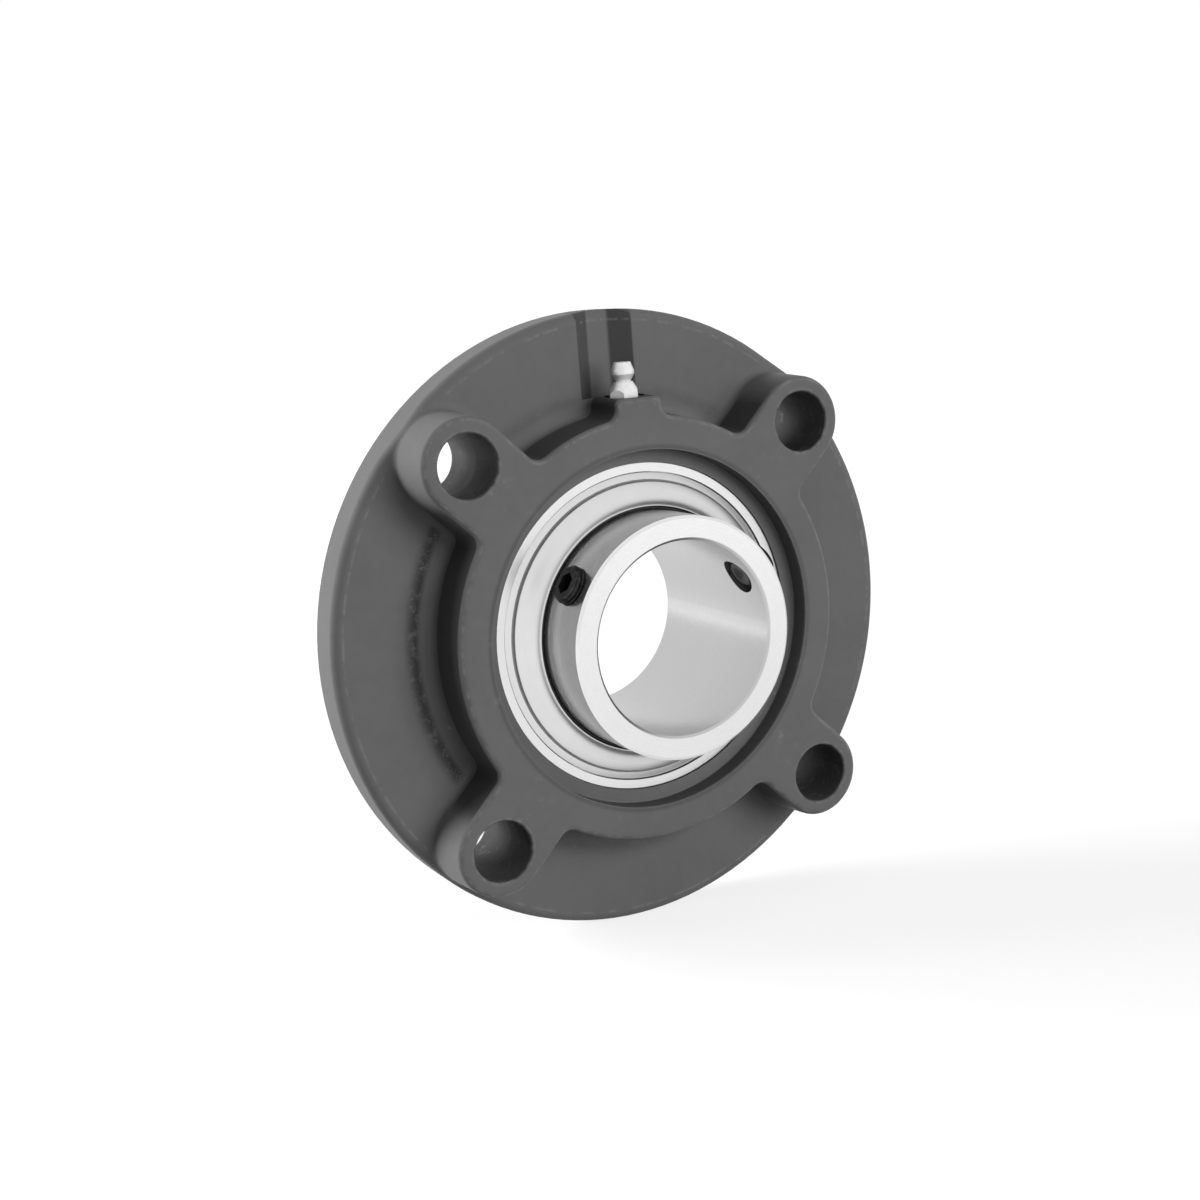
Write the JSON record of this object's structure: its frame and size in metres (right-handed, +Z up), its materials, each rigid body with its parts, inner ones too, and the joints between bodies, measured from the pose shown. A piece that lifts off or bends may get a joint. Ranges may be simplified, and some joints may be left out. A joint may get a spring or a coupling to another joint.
{
  "type": "flanged bearing unit",
  "caption": "Round flanged bearing unit: piloted cast housing with bolt bosses, a grease nipple and a self-aligning ball bearing insert held to its shaft by set screws.",
  "frame": {"origin": "on the shaft axis, in the plane of the flange's mounting face", "axes": "+Y along the shaft axis towards the mounting side, the front with the set screws faces -Y, +Z up through the grease nipple"},
  "size_m": [0.165, 0.0546, 0.165],
  "materials": {
    "painted_iron": "satin paint",
    "bearing_steel": "ground",
    "polished_steel": "polished",
    "sheet_steel": "pressed, bright",
    "seal_rubber": "matte",
    "black_steel": "black oxide",
    "zinc_steel": "zinc plated"
  },
  "bodies": {
    "housing": {"housing": "painted_iron", "grease_nipple": "zinc_steel", "nipple_spring": "zinc_steel"},
    "stop_pin": {"stop_pin": "bearing_steel"},
    "outer_ring": {"outer_ring": "bearing_steel", "front_shield": "sheet_steel", "back_shield": "sheet_steel", "front_seal": "seal_rubber", "back_seal": "seal_rubber"},
    "inner_ring": {"inner_ring": "bearing_steel"},
    "cage": {"cage_front_half": "sheet_steel", "cage_back_half": "sheet_steel", "cage_rivets": "sheet_steel"},
    "ball_1": {"ball_1": "polished_steel"},
    "ball_2": {"ball_2": "polished_steel"},
    "ball_3": {"ball_3": "polished_steel"},
    "ball_4": {"ball_4": "polished_steel"},
    "ball_5": {"ball_5": "polished_steel"},
    "ball_6": {"ball_6": "polished_steel"},
    "ball_7": {"ball_7": "polished_steel"},
    "ball_8": {"ball_8": "polished_steel"},
    "ball_9": {"ball_9": "polished_steel"},
    "ball_10": {"ball_10": "polished_steel"},
    "set_screw_1": {"set_screw_1": "black_steel"},
    "set_screw_2": {"set_screw_2": "black_steel"},
    "nipple_check_ball": {"nipple_check_ball": "polished_steel"}
  },
  "joints": [
    {"name": "align_sideways", "type": "hinge", "parent": "housing", "child": "stop_pin", "pos_m": [0, -0.01, 0], "axis": [0, 0, 1], "range_deg": [-2, 2]},
    {"name": "align_up_down", "type": "hinge", "parent": "stop_pin", "child": "outer_ring", "pos_m": [0, -0.01, 0], "axis": [1, 0, 0], "range_deg": [-2, 2]},
    {"name": "inner_ring_spin", "type": "hinge", "parent": "outer_ring", "child": "inner_ring", "pos_m": [0, -0.01, 0], "axis": [0, 1, 0], "continuous": true},
    {"name": "cage_spin", "type": "hinge", "parent": "outer_ring", "child": "cage", "pos_m": [0, -0.01, 0], "axis": [0, 1, 0], "continuous": true},
    {"name": "ball_1_roll", "type": "hinge", "parent": "cage", "child": "ball_1", "pos_m": [0.03505, -0.01, 0], "axis": [0, 1, 0], "continuous": true},
    {"name": "ball_2_roll", "type": "hinge", "parent": "cage", "child": "ball_2", "pos_m": [0.02836, -0.01, 0.0206], "axis": [0, 1, 0], "continuous": true},
    {"name": "ball_3_roll", "type": "hinge", "parent": "cage", "child": "ball_3", "pos_m": [0.01083, -0.01, 0.03333], "axis": [0, 1, 0], "continuous": true},
    {"name": "ball_4_roll", "type": "hinge", "parent": "cage", "child": "ball_4", "pos_m": [-0.01083, -0.01, 0.03333], "axis": [0, 1, 0], "continuous": true},
    {"name": "ball_5_roll", "type": "hinge", "parent": "cage", "child": "ball_5", "pos_m": [-0.02836, -0.01, 0.0206], "axis": [0, 1, 0], "continuous": true},
    {"name": "ball_6_roll", "type": "hinge", "parent": "cage", "child": "ball_6", "pos_m": [-0.03505, -0.01, 0], "axis": [0, 1, 0], "continuous": true},
    {"name": "ball_7_roll", "type": "hinge", "parent": "cage", "child": "ball_7", "pos_m": [-0.02836, -0.01, -0.0206], "axis": [0, 1, 0], "continuous": true},
    {"name": "ball_8_roll", "type": "hinge", "parent": "cage", "child": "ball_8", "pos_m": [-0.01083, -0.01, -0.03333], "axis": [0, 1, 0], "continuous": true},
    {"name": "ball_9_roll", "type": "hinge", "parent": "cage", "child": "ball_9", "pos_m": [0.01083, -0.01, -0.03333], "axis": [0, 1, 0], "continuous": true},
    {"name": "ball_10_roll", "type": "hinge", "parent": "cage", "child": "ball_10", "pos_m": [0.02836, -0.01, -0.0206], "axis": [0, 1, 0], "continuous": true},
    {"name": "set_screw_1_travel", "type": "slide", "parent": "inner_ring", "child": "set_screw_1", "axis": [0.8829, 0, 0.4695], "range_m": [-0.0006, 0.003]},
    {"name": "set_screw_2_travel", "type": "slide", "parent": "inner_ring", "child": "set_screw_2", "axis": [-0.848, 0, 0.5299], "range_m": [-0.0006, 0.003]},
    {"name": "nipple_check_ball_lift", "type": "slide", "parent": "housing", "child": "nipple_check_ball", "axis": [0, 0, -1], "range_m": [0, 0.0008], "stiffness_N_per_m": 300, "springref_m": -0.001, "deforming": ["nipple_spring"]}
  ],
  "couplings": [
    {"joint": "cage_spin", "follows": "inner_ring_spin", "ratio": 0.40942},
    {"joint": "ball_1_roll", "follows": "inner_ring_spin", "ratio": -2.6693},
    {"joint": "ball_2_roll", "follows": "inner_ring_spin", "ratio": -2.6693},
    {"joint": "ball_3_roll", "follows": "inner_ring_spin", "ratio": -2.6693},
    {"joint": "ball_4_roll", "follows": "inner_ring_spin", "ratio": -2.6693},
    {"joint": "ball_5_roll", "follows": "inner_ring_spin", "ratio": -2.6693},
    {"joint": "ball_6_roll", "follows": "inner_ring_spin", "ratio": -2.6693},
    {"joint": "ball_7_roll", "follows": "inner_ring_spin", "ratio": -2.6693},
    {"joint": "ball_8_roll", "follows": "inner_ring_spin", "ratio": -2.6693},
    {"joint": "ball_9_roll", "follows": "inner_ring_spin", "ratio": -2.6693},
    {"joint": "ball_10_roll", "follows": "inner_ring_spin", "ratio": -2.6693}
  ]
}
